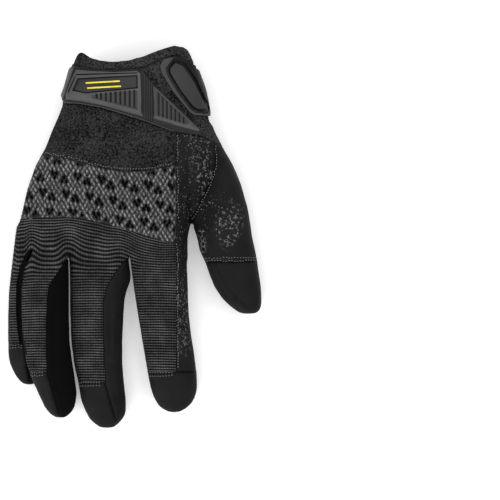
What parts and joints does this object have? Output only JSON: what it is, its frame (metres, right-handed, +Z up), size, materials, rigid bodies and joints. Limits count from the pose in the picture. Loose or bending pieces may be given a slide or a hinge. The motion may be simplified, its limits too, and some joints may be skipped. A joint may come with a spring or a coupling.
{
  "type": "tactical glove",
  "caption": "Right-hand work glove with a moulded rubber wrist plate and strap, ribbed knit finger backs and a printed grip palm, lying palm down.",
  "frame": {"origin": "centre of the glove's box, on the surface that it lies on", "axes": "+Y from the fingertips to the cuff, +X towards the thumb, +Z up, out of the back of the hand"},
  "size_m": [0.1637, 0.2471, 0.0422],
  "materials": {
    "knit_black": "matte knit",
    "softshell_black": "matte woven stretch shell",
    "mesh_grey": "spacer mesh",
    "rib_knit": "ribbed stretch knit",
    "leather_black": "smooth synthetic leather",
    "leather_print": "synthetic leather with a raised silicone print",
    "rubber_grey": "satin moulded rubber",
    "webbing_black": "ribbed webbing",
    "pile_black": "loop pile"
  },
  "bodies": {
    "root": {"cuff_collar": "knit_black", "cuff_back": "knit_black", "back_panel": "softshell_black", "knuckle_mesh": "mesh_grey", "side_panel": "leather_print", "thumb_back": "leather_black", "thumb_cap": "leather_black", "thumb_pad": "leather_print", "palm_hem": "webbing_black", "palm_leather": "leather_black", "palm_overlay": "leather_print", "wrist_plate": "rubber_grey", "wrist_strap": "rubber_grey", "loop_patch": "pile_black", "pull_loop": "webbing_black", "index_ribs": "rib_knit", "index_side": "leather_print", "index_cap": "leather_black", "index_pad": "leather_print", "middle_ribs": "rib_knit", "middle_side": "leather_black", "middle_cap": "leather_black", "middle_pad": "leather_print", "ring_ribs": "rib_knit", "ring_side": "leather_black", "ring_cap": "leather_black", "ring_pad": "leather_print", "little_ribs": "rib_knit", "little_side": "leather_black", "little_cap": "leather_black", "little_pad": "leather_print"}
  },
  "joints": []
}
